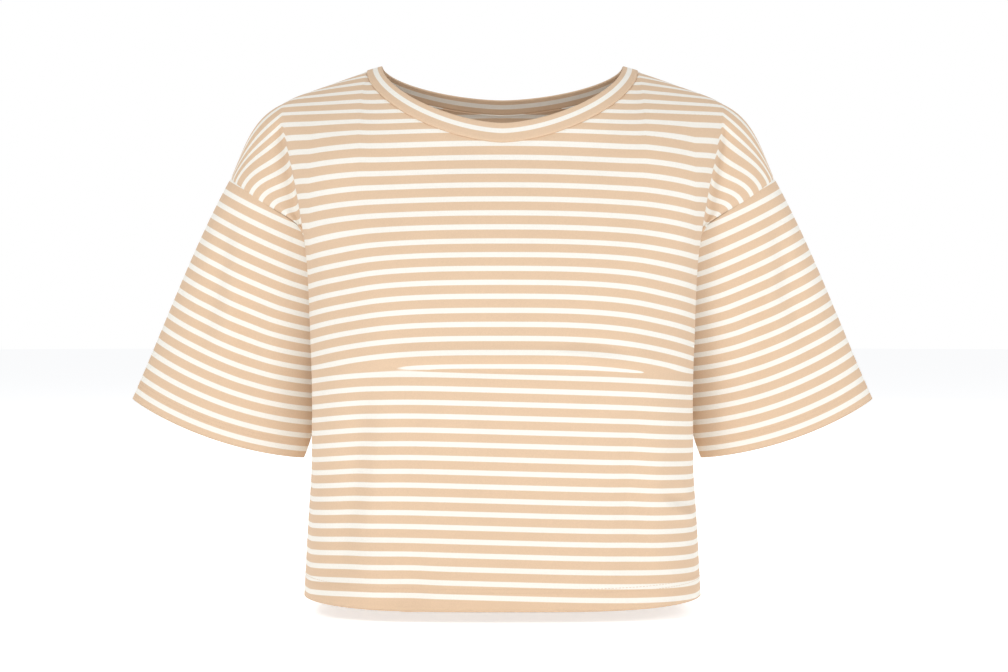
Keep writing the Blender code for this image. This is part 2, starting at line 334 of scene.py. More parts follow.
# The course through a point counts stripe repeats down from the first cream stripe under the neckband.
COURSE_AT_ARMPIT = 15.0
REPEAT_ABOVE = 0.01245
COURSE_BELOW = 33.0
COURSE_BELOW_Z = -0.4737
REPEAT_BELOW = 0.01216
CREASE_Z = -0.2745
CREASE_HALF_HEIGHT = 0.005
CREASE_TILT = 0.018
SAG_HALF_WIDTH = 0.163
SAG_WIDEST = 1.06
LAST_COURSE = 33.77

# How far the stripes hang below their level at the middle: z, at the right side, at the left side.
SAG_ABOVE = (
    (-0.046, 0.0000, 0.0000),
    (-0.068, 0.0064, 0.0086),
    (-0.106, 0.0082, 0.0110),
    (-0.145, 0.0094, 0.0112),
    (-0.171, 0.0124, 0.0118),
    (-0.208, 0.0137, 0.0150),
    (-0.245, 0.0140, 0.0165),
    (-0.258, 0.0140, 0.0168),
)
SAG_ABOVE_POWER = 3.1

# How much higher the stripes lie at the middle than an even spacing puts them: z, height.
STRIPE_TRIM = (
    (-0.040, 0.0000),
    (-0.066, 0.0044),
    (-0.080, 0.0027),
    (-0.098, 0.0015),
    (-0.123, 0.0000),
    (-0.160, -0.0015),
    (-0.200, -0.0009),
    (-0.258, -0.0003),
)
SAG_BELOW = (
    (-0.290, 0.0094, 0.0041),
    (-0.486, 0.0074, 0.0031),
)
SAG_BELOW_POWER = 4.0
TILT_BELOW = 0.027

SLEEVE_REPEAT = 0.0125
SLEEVE_FIRST_CREAM = 0.0087
BAND_CREAM_AT = 0.44
BAND_REPEAT = 0.0120
BAND_LAST_COURSE = 0.7

# --- the studio

CAMERA_PLACE = (0.0014, -2.4, -0.209)
CAMERA_PITCH_DOWN = 0.878
CAMERA_LENS = 93.17
SENSOR_WIDTH = 36.0
FLOOR_RADIUS = 12.0
FLOOR_SIDES = 96

# Soft lights: name, place, what they face, size, share of the key light.
SOFT_LIGHTS = (
    ("key", (-1.6, -2.6, 1.9), (0.0, 0.0, -0.25), 1.1, 1.0),
    ("fill", (2.1, -2.4, 1.3), (0.0, 0.0, -0.25), 1.6, 0.75),
    ("back left", (1.8, 2.6, 1.9), (0.0, 0.0, -0.25), 2.2, 0.8),
    ("back right", (-2.0, 2.3, 1.7), (0.0, 0.0, -0.25), 2.2, 0.7),
)


# --- settings


def length_setting(name, description, default):
    """A setting measured in metres."""
    return bpy.props.FloatProperty(name=name, description=description, default=default, unit="LENGTH")


def colour_setting(name, description, default):
    """A setting that is a colour."""
    return bpy.props.FloatVectorProperty(
        name=name, description=description, size=3, subtype="COLOR", default=default
    )


class CropTopCloth(bpy.types.PropertyGroup):
    """Sizes and colours of the jersey."""

    wall: length_setting("Cloth thickness", "Thickness of one layer of jersey", 0.0011)
    hem_wall: length_setting("Hem thickness", "Thickness of the turned-up hem", 0.0024)
    hem_width: length_setting("Hem width", "How far the hem is turned up", 0.0225)
    cream_share: bpy.props.FloatProperty(
        name="Cream share", description="Cream share of each stripe repeat", default=0.38, subtype="FACTOR"
    )
    crease_strength: bpy.props.FloatProperty(
        name="Crease strength", description="Scale of every crease's height", default=1.9, min=0.0
    )
    beige: colour_setting("Beige", "Colour of the wider stripes", (0.730, 0.535, 0.370))
    cream: colour_setting("Cream", "Colour of the narrower stripes", (0.900, 0.868, 0.795))


class CropTopStitches(bpy.types.PropertyGroup):
    """Sizes and colour of the hem stitches."""

    spacing: length_setting("Stitch spacing", "From one stitch to the next", 0.0032)
    length: length_setting("Stitch length", "Length of the thread that shows", 0.0024)
    thickness: length_setting("Thread thickness", "Diameter of the thread", 0.00042)
    above_hem: length_setting("Above the hem", "Height of the body's lower row over the edge", 0.0167)
    above_cuff: length_setting("Above the cuff", "Height of a sleeve's lower row over the edge", 0.0130)
    row_gap: length_setting("Row gap", "Distance between the two rows", 0.0033)
    colour: colour_setting("Thread", "Colour of the thread", (0.740, 0.540, 0.380))


class CropTopStage(bpy.types.PropertyGroup):
    """Floor, lights and backdrop."""

    floor_drop: length_setting("Floor drop", "Gap between the hem and the floor", 0.0100)
    key_power: bpy.props.FloatProperty(
        name="Key power", description="Power of the key light in watts", default=37.0, min=0.0
    )
    surround: bpy.props.FloatProperty(
        name="Surround", description="Strength of the light from all round", default=0.42, min=0.0
    )
    floor_glow: bpy.props.FloatProperty(
        name="Floor glow", description="Light from below the floor's paper", default=0.58, min=0.0
    )
    floor_colour: colour_setting("Floor", "Colour of the floor and backdrop", (0.955, 0.96, 0.97))


# --- curves and sections


def unit(vectors):
    return vectors / np.maximum(np.linalg.norm(vectors, axis=-1, keepdims=True), 1e-12)


def smooth_step(value):
    value = np.clip(value, 0.0, 1.0)
    return value * value * (3.0 - 2.0 * value)


def along(points, fractions):
    """Points at these fractions of a polyline's length."""
    points = np.asarray(points, float)
    steps = np.linalg.norm(np.diff(points, axis=0), axis=1)
    reach = np.concatenate([[0.0], np.cumsum(steps)])
    wanted = np.asarray(fractions) * reach[-1]
    return np.stack([np.interp(wanted, reach, points[:, k]) for k in range(points.shape[1])], axis=1)


def smooth_through(points, first=None, last=None):
    """A dense polyline on a Catmull-Rom curve, with given neighbours past its ends."""
    points = np.asarray(points, float)
    before = 2 * points[0] - points[1] if first is None else np.asarray(first, float)
    after = 2 * points[-1] - points[-2] if last is None else np.asarray(last, float)
    knots = np.vstack([before, points, after])
    t = np.linspace(0, 1, SPAN_POINTS, endpoint=False)[:, None]
    spans = []
    for a, b, c, d in zip(knots[:-3], knots[1:-2], knots[2:-1], knots[3:]):
        spans.append(b + 0.5 * t * (c - a + t * (2 * a - 5 * b + 4 * c - d + t * (3 * (b - c) + d - a))))
    return np.vstack(spans + [points[-1:]])


def bezier(a, b, c, d, fractions):
    t = np.asarray(fractions)[:, None]
    return (1 - t) ** 3 * a + 3 * t * (1 - t) ** 2 * b + 3 * t**2 * (1 - t) * c + t**3 * d


def body_at(z, side):
    """Depth, fold half width, seam half width and hollow reach at a height; side is -1 front, 1 back."""
    table = np.array(sorted(BODY))
    dense = smooth_through(table)
    values = [np.interp(z, dense[:, 0], dense[:, k]) for k in range(1, 6)]
    return (values[0] if side < 0 else values[1]), *values[2:]


def ridge_height(x):
    """Height of the shoulder line over x; inside the neck its slope carries on."""
    dense = smooth_through([(x, z) for _, x, z in SHOULDER_LINE])
    slope = (dense[1, 1] - dense[0, 1]) / (dense[1, 0] - dense[0, 0])
    inside = dense[0, 1] + slope * (x - dense[0, 0])
    return np.where(x < dense[0, 0], inside, np.interp(x, dense[:, 0], dense[:, 1]))


def torso_depth(x, z, side):
    """How far the front or back stands out from the shoulder's plane, between centre line and fold."""
    depth, fold, _, _ = body_at(z, side)
    share = np.clip(x / (fold * SECTION_OVER_FOLD), 0, 1)
    flat = (1 - share**SECTION_SQUARENESS) ** (1 / SECTION_SQUARENESS)
    below = np.clip((ridge_height(x) - z) / SHOULDER_ROLL_HEIGHT, 0, 1)
    return depth * flat * np.sqrt(1 - (1 - below) ** 2)


def neck_drop(share, drop):
    return drop * (1 - share**NECK_CURVE) ** (1 / NECK_CURVE)


# --- the grid of a panel


def column_places():
    """Fine columns in steps of the coarse grid: even as far as the fold, then crowded at the seam."""
    to_fold = np.linspace(0, FOLD_COLUMN, FOLD_COLUMN * FINE + 1)
    return np.concatenate([to_fold, FOLD_COLUMN + across_fold()[1:] * (SEAM_COLUMN - FOLD_COLUMN)])


def across_fold():
    """Fractions of the way from the fold to the armhole or side seam."""
    even = np.linspace(0, 1, (SEAM_COLUMN - FOLD_COLUMN) * FINE + 1)
    return np.sort(np.concatenate([even, 1 - np.array(SEAM_COLUMN_STEPS)]))


def down_upper(power=1.0):
    """Fractions of the way down from the top edge to the armpit, crowded at the top edge."""
    even = np.linspace(0, 1, ARMHOLE_ROWS * FINE + 1) ** power
    return np.concatenate([[0.0], SEAM_STEPS, even[1:]])


def top_edge(side):
    """Neck seam from the centre to the neck point, then the shoulder seam to the drop seam."""
    places = column_places()
    share = np.sin(np.linspace(0, np.pi / 2, CURVE_POINTS))
    x = NECK_HALF_WIDTH * share
    z = NECK_POINT_Z - neck_drop(share, NECK_FRONT_DROP if side < 0 else NECK_BACK_DROP)
    neck = np.stack([x, side * torso_depth(x, z, side), z], axis=1)
    neck = along(neck, places[places <= NECK_COLUMNS] / NECK_COLUMNS)
    shoulder = smooth_through([(x, 0.0, z) for _, x, z in SHOULDER_LINE])
    outer = places[places > NECK_COLUMNS]
    shoulder = along(shoulder, (outer - NECK_COLUMNS) / (SEAM_COLUMN - NECK_COLUMNS))
    return np.vstack([neck, shoulder])


def armhole(side, fractions):
    """Points of the armhole seam from the drop seam to the armpit."""
    front = [(x, front_y, z) for _, x, z, front_y, _ in ARMHOLE]
    back = [(x, back_y, z) for _, x, z, _, back_y in ARMHOLE]
    here, there = (front, back) if side < 0 else (back, front)
    return along(smooth_through(here, first=there[1], last=there[-2]), fractions)


def body_section(z, side):
    """One level quarter of the body from its centre line to its side seam, below the armpit."""
    depth, fold, seam, reach = body_at(z, side)
    half_width = fold * SECTION_OVER_FOLD
    turn = np.linspace(0, np.pi / 2, CURVE_POINTS)
    x = half_width * np.sin(turn) ** (2 / SECTION_SQUARENESS)
    y = depth * np.cos(turn) ** (2 / SECTION_SQUARENESS)
    x = x - (half_width - seam) * np.exp(-((y / reach) ** 2))
    down = np.clip((ARMPIT_Z - z) / (ARMPIT_Z - HEM_Z), 0, 1)
    lift = HEM_RISE_AT_SIDE * down * (x / half_width) ** HEM_RISE_POWER
    section = np.stack([x, side * y, z + lift], axis=1)
    return along(section, column_places() / SEAM_COLUMN)


def upper_half(side):
    """Rows from the shoulder to the armpit, over one half of the front or back."""
    places = column_places()
    top = top_edge(side)
    down = down_upper()
    seam = armhole(side, down)
    bottom = body_section(ARMPIT_Z, side)
    fold_index = FOLD_COLUMN * FINE
    grid = np.zeros((len(down), len(top), 3))
    fall = np.linspace(0, 1, CURVE_POINTS) ** 2
    for column in range(fold_index + 1):
        z = top[column, 2] + (ARMPIT_Z - top[column, 2]) * fall
        fold = body_at(z, side)[1]
        share = top[column, 0] / fold[0] + (bottom[column, 0] / fold[-1] - top[column, 0] / fold[0]) * fall
        x = fold * share
        path = np.stack([x, side * torso_depth(x, z, side), z], axis=1)
        path += (bottom[column] - path[-1]) * fall[:, None]
        early = max(0.0, (places[column] - NECK_COLUMNS) / (FOLD_COLUMN - NECK_COLUMNS))
        grid[:, column] = along(path, down_upper(1 - TOP_ROW_CROWDING * early))
    leaving = unit(grid[:, fold_index] - grid[:, fold_index - FINE])
    arm = unit(np.array(SLEEVE_TIP) - seam[0])
    inward = np.array([0.0, -side, 0.0])
    for row, share in enumerate(down):
        turn = np.clip((share - FOLD_SHARE) / FOLD_TURN, 0, 1)
        arriving = unit(arm * (1 - turn) + inward * turn)
        start, end = grid[row, fold_index], seam[row]
        reach = np.linalg.norm(end - start) * FOLD_ROUNDNESS
        grid[row, fold_index:] = bezier(
            start, start + leaving[row] * reach, end - arriving * reach, end, across_fold()
        )
    grid[0] = top
    grid[-1] = bottom
    return grid


def half_panel(side):
    """Points of one half of the front or back, and each row's level below the armpit."""
    upper = upper_half(side)
    levels = np.linspace(ARMPIT_Z, HEM_Z, SIDE_ROWS * FINE + 1)[1:]
    lower = np.stack([body_section(z, side) for z in levels])
    return np.concatenate([upper, lower]), levels


def mirrored(half, sign=-1.0):
    """A full-width grid from the half at positive x, whose first column is the centre line."""
    flip = np.array([sign, 1.0, 1.0]) if half.ndim == 3 else sign
    return np.concatenate([half[:, :0:-1] * flip, half], axis=1)


def reach_down(grid):
    """Distance of each point along its column from the first row."""
    steps = np.linalg.norm(np.diff(grid, axis=0), axis=2)
    return np.concatenate([np.zeros((1, grid.shape[1])), np.cumsum(steps, axis=0)])


def reach_across(grid):
    """Distance of each point along its row from the first column."""
    steps = np.linalg.norm(np.diff(grid, axis=1), axis=2)
    return np.concatenate([np.zeros((grid.shape[0], 1)), np.cumsum(steps, axis=1)], axis=1)


# --- stripes on the panels


def sag(x, z, table, power):
    """How far a stripe hangs below its middle, growing towards both sides."""
    rows = np.array(sorted(table))
    right = np.interp(z, rows[:, 0], rows[:, 1])
    left = np.interp(z, rows[:, 0], rows[:, 2])
    share = np.clip(np.abs(x) / SAG_HALF_WIDTH, 0, SAG_WIDEST)
    return np.where(x < 0, right, left) * share**power


def panel_courses(grid, levels):
    """Course above the pressed line, course below it, and the share of the first, over a whole panel."""
    upper_rows = len(down_upper())
    middle = grid.shape[1] // 2
    fold = FOLD_COLUMN * FINE
    down = reach_down(grid[:upper_rows])
    from_armpit = down[-1] - down
    x, z = grid[..., 0].copy(), grid[..., 2].copy()
    z[upper_rows:] = levels[:, None]
    above = np.zeros(x.shape)
    above[:upper_rows] = COURSE_AT_ARMPIT - from_armpit / REPEAT_ABOVE
    above[upper_rows:] = COURSE_AT_ARMPIT + (ARMPIT_Z - z[upper_rows:]) / REPEAT_ABOVE
    above -= sag(x, z, SAG_ABOVE, SAG_ABOVE_POWER) / REPEAT_ABOVE
    trim = np.array(sorted(STRIPE_TRIM))
    above += np.interp(z, trim[:, 0], trim[:, 1]) / REPEAT_ABOVE
    below = COURSE_BELOW + (COURSE_BELOW_Z - z - TILT_BELOW * x) / REPEAT_BELOW
    below -= sag(x, z, SAG_BELOW, SAG_BELOW_POWER) / REPEAT_BELOW
    line = CREASE_Z - CREASE_TILT * x
    share = smooth_step(0.5 + (z - line) / (2 * CREASE_HALF_HEIGHT))
    for values in (above, below, share):
        values[:, : middle - fold] = values[:, middle - fold, None]
        values[:, middle + fold + 1 :] = values[:, middle + fold, None]
    shift = VALLEY_STRIPE_SHIFT * valley_share(z[:, middle + fold])[:, None]
    above[:, : middle - fold] += shift
    above[:, middle + fold + 1 :] += shift
    return above, np.minimum(below, LAST_COURSE), share


# --- creases


def crease_line(x0, z0, x1, z1, bow):
    """A bowed line between two points, and the share of its length at each point."""
    start, end = np.array([x0, z0]), np.array([x1, z1])
    square = np.array([-(end - start)[1], (end - start)[0]])
    square = square / np.linalg.norm(square)
    share = np.linspace(0, 1, CREASE_POINTS)
    bowed = square * (bow * 4 * share * (1 - share))[:, None]
    return start + (end - start) * share[:, None] + bowed, share


def relief(flat, creases):
    """Height over the cloth of all the creases, at places given in the creases' own two measures."""
    height = np.zeros(flat.shape[:-1])
    for _, x0, z0, x1, z1, bow, half_width, rise in creases:
        line, share = crease_line(x0, z0, x1, z1, bow)
        nearest = np.full(flat.shape[:-1], np.inf)
        place = np.zeros(flat.shape[:-1])
        for a, b, s, t in zip(line[:-1], line[1:], share[:-1], share[1:]):
            along_it = np.clip(((flat - a) @ (b - a)) / ((b - a) @ (b - a)), 0, 1)
            gap = np.linalg.norm(flat - a - along_it[..., None] * (b - a), axis=-1)
            closer = gap < nearest
            nearest = np.where(closer, gap, nearest)
            place = np.where(closer, s + (t - s) * along_it, place)
        ends = np.sin(np.pi * np.clip(place, 0, 1)) ** CREASE_END_POWER
        height += rise * ends * np.exp(-((nearest / half_width) ** 2))
    return height


def normals_of(grid, outward, ring):
    """Outward normals of a grid of points, whose columns may join into a ring."""
    if ring:
        around = np.roll(grid, -1, axis=1) - np.roll(grid, 1, axis=1)
    else:
        around = np.gradient(grid, axis=1)
    down = np.gradient(grid, axis=0)
    return unit(np.cross(down, around)) * (1.0 if outward else -1.0)


# --- meshes


def piece_collection():
    """The collection that holds the finished pieces."""
    found = bpy.data.collections.get("crop_top_finish")
    if found is None:
        found = bpy.data.collections.new("crop_top_finish")
        bpy.context.scene.collection.children.link(found)
    return found


def grid_faces(rows, columns, outward, ring):
    span = columns if ring else columns - 1
    row, column = np.meshgrid(np.arange(rows - 1), np.arange(span), indexing="ij")
    here = (row * columns + column).ravel()
    beside = (row * columns + (column + 1) % columns).ravel()
    corners = np.stack([here, here + columns, beside + columns, beside], axis=1)
    return corners if outward else corners[:, ::-1]


def add_map(mesh, name, values, corners):
    """A UV map with the given pair of values at each point of the grid."""
    layer = mesh.uv_layers.new(name=name)
    layer.uv.foreach_set("vector", values.reshape(-1, 2)[corners.ravel()].astype(np.float32).ravel())


def grid_mesh(name, grid, outward, ring, maps):
    """A mesh from a grid of points, with one UV map for each named pair of values."""
    rows, columns = grid.shape[:2]
    corners = grid_faces(rows, columns, outward, ring)
    mesh = bpy.data.meshes.new(name)
    mesh.from_pydata(grid.reshape(-1, 3).tolist(), [], corners.tolist())
    for label, values in maps:
        add_map(mesh, label, values, corners)
    mesh.shade_smooth()
    mesh.validate()
    return mesh


def baked(piece):
    """The piece with its modifiers made part of its mesh."""
    graph = bpy.context.evaluated_depsgraph_get()
    made = bpy.data.meshes.new_from_object(
        piece.evaluated_get(graph), preserve_all_data_layers=True, depsgraph=graph
    )
    old = piece.data
    piece.modifiers.clear()
    piece.data = made
    made.name = piece.name
    bpy.data.meshes.remove(old)
    return piece


def thickened(name, mesh, wall, double_from_row, rows, columns, hem_wall):
    """An object with walls inside its surface, thicker from a row on."""
    piece = bpy.data.objects.new(name, mesh)
    piece_collection().objects.link(piece)
    layers = piece.vertex_groups.new(name="layers")
    plain = double_from_row * columns
    layers.add(list(range(plain)), wall / hem_wall, "REPLACE")
    layers.add(list(range(plain, rows * columns)), 1.0, "REPLACE")
    solid = piece.modifiers.new("wall", "SOLIDIFY")
    solid.thickness = hem_wall
    solid.offset = -1.0
    solid.vertex_group = layers.name
    bpy.context.view_layer.update()
    return baked(piece)


def ready(piece, node, slot_name):
    """Puts a finished piece in place of its solid."""
    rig.ride(piece, "root")
    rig.replaces(piece, node)
    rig.slot(piece, slot_name)
    return piece


# --- materials


def group_with(name, inputs, outputs):
    """A new shader node group with inputs (name, type, default) and outputs (name, type)."""
    group = bpy.data.node_groups.new(name, "ShaderNodeTree")
    for label, kind, default in inputs:
        socket = group.interface.new_socket(name=label, in_out="INPUT", socket_type=kind)
        socket.default_value = default
    for label, kind in outputs:
        group.interface.new_socket(name=label, in_out="OUTPUT", socket_type=kind)
    return group, group.nodes.new("NodeGroupInput"), group.nodes.new("NodeGroupOutput")


def math_node(tree, operation, first, second=None, clamp=False):
    """A Math node fed by sockets or numbers; returns its output."""
    node = tree.nodes.new("ShaderNodeMath")
    node.operation = operation
    node.use_clamp = clamp
    for socket, value in zip(node.inputs, (first, second)):
        if value is None:
            continue
        if isinstance(value, bpy.types.NodeSocket):
            tree.links.new(value, socket)
        else:
            socket.default_value = value
    return node.outputs[0]


def mix_node(tree, kind, factor, first, second):
    """A Mix node of floats or colours; returns its output."""
    node = tree.nodes.new("ShaderNodeMix")
    node.data_type = kind
    ports = {"FLOAT": (0, 2, 3, 0), "RGBA": (0, 6, 7, 2)}[kind]
    for place, value in zip(ports, (factor, first, second)):
        if isinstance(value, bpy.types.NodeSocket):
            tree.links.new(value, node.inputs[place])
        else:
            node.inputs[place].default_value = value
    return node.outputs[ports[3]]


def stripe_group():
    """Cream mask of the stripes: the courses above and below the pressed line meet as waves do."""
    found = bpy.data.node_groups.get("jersey stripes")
    if found:
        return found
    group, given, out = group_with(
        "jersey stripes",
        (
            ("Course", "NodeSocketFloat", 0.0),
            ("Course Below", "NodeSocketFloat", 0.0),
            ("Share Above", "NodeSocketFloat", 1.0),
            ("Cream Share", "NodeSocketFloat", 0.38),
            ("Edge Softness", "NodeSocketFloat", 0.04),
        ),
        (("Cream", "NodeSocketFloat"),),
    )
    waves = []
    for label in ("Course", "Course Below"):
        angle = math_node(group, "MULTIPLY", given.outputs[label], math.tau)
        waves.append((math_node(group, "COSINE", angle), math_node(group, "SINE", angle)))
    share = given.outputs["Share Above"]
    cosine = mix_node(group, "FLOAT", share, waves[1][0], waves[0][0])
    sine = mix_node(group, "FLOAT", share, waves[1][1], waves[0][1])
    angle = math_node(group, "ARCTAN2", sine, cosine)
    from_middle = math_node(group, "DIVIDE", math_node(group, "ABSOLUTE", angle), math.tau)
    half_cream = math_node(group, "MULTIPLY", given.outputs["Cream Share"], 0.5)
    inside = math_node(group, "SUBTRACT", half_cream, from_middle)
    soft = math_node(group, "DIVIDE", inside, given.outputs["Edge Softness"])
    mask = math_node(group, "ADD", soft, 0.5, clamp=True)
    group.links.new(mask, out.inputs["Cream"])
    return group


def knit_group():
    """Height of the knitted loops, and slow unevenness of the dye."""
    found = bpy.data.node_groups.get("jersey knit")
    if found:
        return found
    group, given, out = group_with(
        "jersey knit",
        (
            ("Vector", "NodeSocketVector", (0.0, 0.0, 0.0)),
            ("Wales", "NodeSocketFloat", 13.0),
            ("Rows", "NodeSocketFloat", 17.0),
        ),
        (("Height", "NodeSocketFloat"), ("Heather", "NodeSocketFloat"), ("Cloud", "NodeSocketFloat")),
    )
    parts = group.nodes.new("ShaderNodeSeparateXYZ")
    group.links.new(given.outputs["Vector"], parts.inputs[0])
    across = math_node(group, "MULTIPLY", parts.outputs["X"], given.outputs["Wales"])
    down = math_node(group, "MULTIPLY", parts.outputs["Y"], given.outputs["Rows"])
    rib = math_node(group, "SINE", math_node(group, "MULTIPLY", across, math.pi))
    rib = math_node(group, "ABSOLUTE", rib)
    lean = math_node(group, "MULTIPLY", math_node(group, "PINGPONG", across, 0.5), LOOP_LEAN)
    loop = math_node(group, "MULTIPLY", math_node(group, "ADD", down, lean), math.tau)
    loop = math_node(group, "MULTIPLY", math_node(group, "SINE", loop), LOOP_SHARE)
    height = math_node(group, "MULTIPLY", rib, math_node(group, "ADD", loop, 1.0 - LOOP_SHARE))
    group.links.new(height, out.inputs["Height"])
    place = group.nodes.new("ShaderNodeTexCoord")
    for label, scale, detail in (("Heather", HEATHER_SCALE, 2.0), ("Cloud", CLOUD_SCALE, 3.0)):
        noise = group.nodes.new("ShaderNodeTexNoise")
        noise.inputs["Scale"].default_value = scale
        noise.inputs["Detail"].default_value = detail
        group.links.new(place.outputs["Object"], noise.inputs["Vector"])
        group.links.new(noise.outputs[0], out.inputs[label])
    return group


def jersey(name, with_pressed_line):
    """Striped cotton jersey; the front and back also read the courses below their pressed line."""
    cloth = bpy.context.scene.crop_top_cloth
    made = bpy.data.materials.new(name)
    made.use_nodes = True
    tree = made.node_tree
    shader = tree.nodes["Principled BSDF"]
    place = tree.nodes.new("ShaderNodeUVMap")
    place.uv_map = "cloth"
    course = tree.nodes.new("ShaderNodeSeparateXYZ")
    tree.links.new(place.outputs[0], course.inputs[0])
    stripes = tree.nodes.new("ShaderNodeGroup")
    stripes.node_tree = stripe_group()
    tree.links.new(course.outputs["Y"], stripes.inputs["Course"])
    stripes.inputs["Cream Share"].default_value = cloth.cream_share
    if with_pressed_line:
        second = tree.nodes.new("ShaderNodeUVMap")
        second.uv_map = "below"
        values = tree.nodes.new("ShaderNodeSeparateXYZ")
        tree.links.new(second.outputs[0], values.inputs[0])
        tree.links.new(values.outputs["X"], stripes.inputs["Share Above"])
        tree.links.new(values.outputs["Y"], stripes.inputs["Course Below"])
    knit = tree.nodes.new("ShaderNodeGroup")
    knit.node_tree = knit_group()
    tree.links.new(place.outputs[0], knit.inputs["Vector"])
    colour = mix_node(tree, "RGBA", stripes.outputs["Cream"], (*cloth.beige, 1.0), (*cloth.cream, 1.0))
    tones = []
    for label, dark, light in TONE_RANGES:
        spread = tree.nodes.new("ShaderNodeMapRange")
        for socket, value in (("From Min", 0.3), ("From Max", 0.7), ("To Min", dark), ("To Max", light)):
            spread.inputs[socket].default_value = value
        tree.links.new(knit.outputs[label], spread.inputs["Value"])
        tones.append(spread.outputs[0])
    tone = math_node(tree, "MULTIPLY", *tones)
    toned = tree.nodes.new("ShaderNodeVectorMath")
    toned.operation = "SCALE"
    tree.links.new(colour, toned.inputs[0])
    tree.links.new(tone, toned.inputs["Scale"])
    tree.links.new(toned.outputs[0], shader.inputs["Base Color"])
    bump = tree.nodes.new("ShaderNodeBump")
    bump.inputs["Strength"].default_value = 0.35
    bump.inputs["Distance"].default_value = 0.00025
    tree.links.new(knit.outputs["Height"], bump.inputs["Height"])
    tree.links.new(bump.outputs[0], shader.inputs["Normal"])
    shader.inputs["Roughness"].default_value = 0.92
    shader.inputs["Specular IOR Level"].default_value = 0.18
    shader.inputs["Sheen Weight"].default_value = 0.12
    shader.inputs["Sheen Roughness"].default_value = 0.5
    return made


def speckled(name, light, darkest, scale, roughness):
    """A material of one colour, unevenly darkened; returns it with its tree, shader and noise."""
    made = bpy.data.materials.new(name)
    made.use_nodes = True
    tree = made.node_tree
    shader = tree.nodes["Principled BSDF"]
    place = tree.nodes.new("ShaderNodeTexCoord")
    noise = tree.nodes.new("ShaderNodeTexNoise")
    noise.inputs["Scale"].default_value = scale
    tree.links.new(place.outputs["Object"], noise.inputs["Vector"])
    dark = tuple(darkest * value for value in light)
    colour = mix_node(tree, "RGBA", noise.outputs[0], (*dark, 1.0), (*light, 1.0))
    tree.links.new(colour, shader.inputs["Base Color"])
    shader.inputs["Roughness"].default_value = roughness
    return made, tree, shader, noise


def thread_material():
    """Matt sewing thread in the beige of the cloth, with its twist as a bump."""
    found = bpy.data.materials.get("sewing thread")
    if found:
        return found
    light = bpy.context.scene.crop_top_stitches.colour
    made, tree, shader, noise = speckled("sewing thread", light, 0.9, THREAD_TWIST_SCALE, 0.7)
    bump = tree.nodes.new("ShaderNodeBump")
    bump.inputs["Distance"].default_value = 0.0001
    tree.links.new(noise.outputs[0], bump.inputs["Height"])
    tree.links.new(bump.outputs[0], shader.inputs["Normal"])
    return made


# --- panels


def valley_share(z):
    """How much of the valley beside the fold there is at a height."""
    opening = smooth_step((VALLEY_TOP_Z - z) / (VALLEY_TOP_Z - VALLEY_FULL_Z))
    return opening * smooth_step((z - VALLEY_END_Z) / (VALLEY_FADE_Z - VALLEY_END_Z))


def fold_over(half, side):
    """Sinks the cloth just outside the fold, so that the chest folds over the cap."""
    fold = FOLD_COLUMN * FINE
    beyond = reach_across(half[:, fold:])
    share = beyond / VALLEY_WIDTH
    depth = VALLEY_DEPTH * share * np.exp(1.0 - share) * valley_share(half[:, fold, 2])[:, None]
    ends = smooth_step((beyond[:, -1:] - beyond) / CREASE_CLEAR_OF_SEAM)
    half[:, fold:, 1] -= side * depth * ends
    return half


def panel_grid(side):
    """Points of a whole panel with its creases, and its UV values."""
    half, levels = half_panel(side)
    grid = mirrored(half)
    above, below, share = panel_courses(grid, levels)
    grid = mirrored(fold_over(half, side))
    cloth = bpy.context.scene.crop_top_cloth
    normals = normals_of(grid, side < 0, ring=False)
    middle = grid.shape[1] // 2
    across = reach_across(grid)
    from_seam = np.minimum(across, across[:, -1:] - across)
    from_top = reach_down(grid)
    near_edge = np.minimum(from_seam, from_top)
    clear = smooth_step(near_edge / CREASE_CLEAR_OF_SEAM)
    creases = FRONT_CREASES if side < 0 else BACK_CREASES
    lift = relief(grid[..., (0, 2)], creases) * cloth.crease_strength * clear
    lift -= SEAM_DIP * np.exp(-((near_edge / SEAM_DIP_WIDTH) ** 2))
    grid = grid + normals * lift[..., None]
    sideways = (across - across[:, middle, None]) / REPEAT_ABOVE
    return grid, np.stack([sideways, above], axis=-1), np.stack([share, below], axis=-1)


def hem_start(grid, hem_width):
    """First row of the turned-up hem."""
    middle = grid.shape[1] // 2
    from_hem = reach_down(grid)[:, middle]
    return int(np.searchsorted(from_hem, from_hem[-1] - hem_width))


def make_panel(name, side):
    cloth = bpy.context.scene.crop_top_cloth
    grid, course_map, below_map = panel_grid(side)
    rows, columns = grid.shape[:2]
    mesh = grid_mesh(f"{name}_cloth", grid, side < 0, False, (("cloth", course_map), ("below", below_map)))
    mesh.materials.append(jersey(f"{name} jersey", with_pressed_line=True))
    double_from = hem_start(grid, cloth.hem_width)
    piece = thickened(f"{name}_cloth", mesh, cloth.wall, double_from, rows, columns, cloth.hem_wall)
    return ready(piece, name, "body_jersey"), grid


# --- sleeves


def sleeve_hem(fractions):
    """The sleeve's hem from its outer tip round the front, and back round the back, a flattened ring."""
    tip, corner = np.array(SLEEVE_TIP), np.array(SLEEVE_INNER_CORNER)
    middle, across = (tip + corner) / 2, (tip - corner) / 2
    down = unit(np.cross(across, (0.0, 1.0, 0.0)))
    down = down if down[2] < 0 else -down
    rings = []
    for side, drop in ((-1, SLEEVE_HEM_SAG_FRONT), (1, SLEEVE_HEM_SAG_BACK)):
        turn = np.linspace(0, np.pi, CURVE_POINTS)
        half = (
            middle
            + np.cos(turn)[:, None] * across
            + np.sin(turn)[:, None] * np.array([0.0, side * SLEEVE_HALF_DEPTH, 0.0])
            + np.sin(turn)[:, None] ** 2 * drop * down
        )
        rings.append(along(half, fractions))
    front, back = rings
    return np.vstack([front, back[-2:0:-1]])


